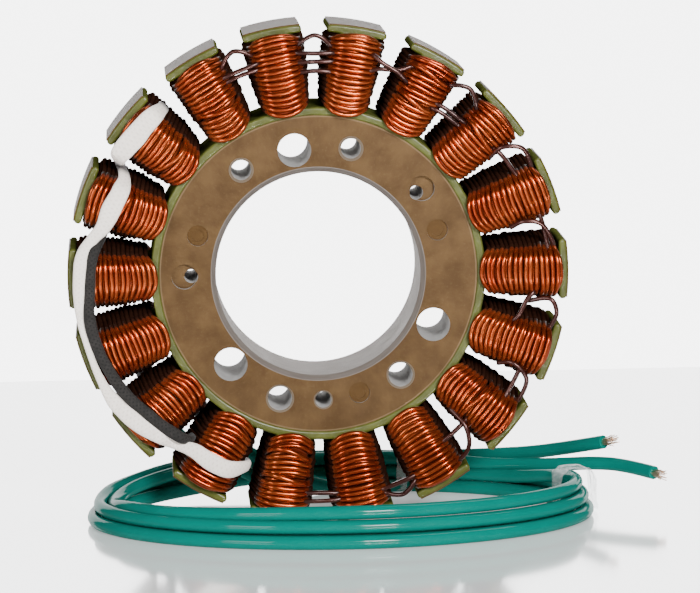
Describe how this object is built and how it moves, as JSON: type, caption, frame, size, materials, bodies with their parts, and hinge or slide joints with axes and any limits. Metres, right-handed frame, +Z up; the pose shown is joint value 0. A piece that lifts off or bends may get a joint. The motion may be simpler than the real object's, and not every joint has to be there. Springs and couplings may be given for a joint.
{
  "type": "wound stator",
  "caption": "Outer-rotor alternator stator: a ring of copper coils on a laminated steel core, with green lead wires coiled round its foot.",
  "frame": {"origin": "centre of the bore, midway through the stack", "axes": "+Y along the bore axis towards the back face, +Z up as the stator stands, +X to the right seen from the front"},
  "size_m": [0.1438, 0.097, 0.1198],
  "materials": {
    "steel_stack": "bare stamped steel with a thin brown varnish, machined grey in the bore",
    "epoxy_coat": "olive green dipped epoxy, smooth with soft edges",
    "rivet_steel": "brown varnished rivet heads",
    "copper_wire": "enamelled copper wire, glossy red-brown",
    "white_sleeving": "white braided glass-fibre sleeving",
    "black_sleeving": "charcoal braided glass-fibre sleeving",
    "heat_shrink": "black heat-shrink tube",
    "green_insulation": "teal green cable insulation, smooth semi-gloss",
    "bare_strands": "bare tinned copper strands",
    "clear_film": "clear plastic film"
  },
  "bodies": {
    "root": {"black_sleeve": "black_sleeving", "coil_01": "copper_wire", "coil_02": "copper_wire", "coil_03": "copper_wire", "coil_04": "copper_wire", "coil_05": "copper_wire", "coil_06": "copper_wire", "coil_07": "copper_wire", "coil_08": "copper_wire", "coil_09": "copper_wire", "coil_10": "copper_wire", "coil_11": "copper_wire", "coil_12": "copper_wire", "coil_13": "copper_wire", "coil_14": "copper_wire", "coil_15": "copper_wire", "coil_16": "copper_wire", "coil_17": "copper_wire", "coil_18": "copper_wire", "exit_sleeve_1": "heat_shrink", "exit_sleeve_2": "heat_shrink", "insulation_coat": "epoxy_coat", "lamination_stack": "steel_stack", "lead_1_drop": "green_insulation", "lead_1_end": "green_insulation", "lead_1_strands": "bare_strands", "lead_2_drop": "green_insulation", "lead_2_end": "green_insulation", "lead_2_strands": "bare_strands", "lead_coil": "green_insulation", "link_wire_01": "copper_wire", "link_wire_02": "copper_wire", "link_wire_03": "copper_wire", "link_wire_04": "copper_wire", "link_wire_05": "copper_wire", "link_wire_06": "copper_wire", "link_wire_07": "copper_wire", "link_wire_08": "copper_wire", "link_wire_09": "copper_wire", "link_wire_10": "copper_wire", "link_wire_11": "copper_wire", "link_wire_12": "copper_wire", "rivet_1": "rivet_steel", "rivet_2": "rivet_steel", "rivet_3": "rivet_steel", "tie_rear": "clear_film", "tie_right": "clear_film", "white_sleeve": "white_sleeving"}
  },
  "joints": []
}
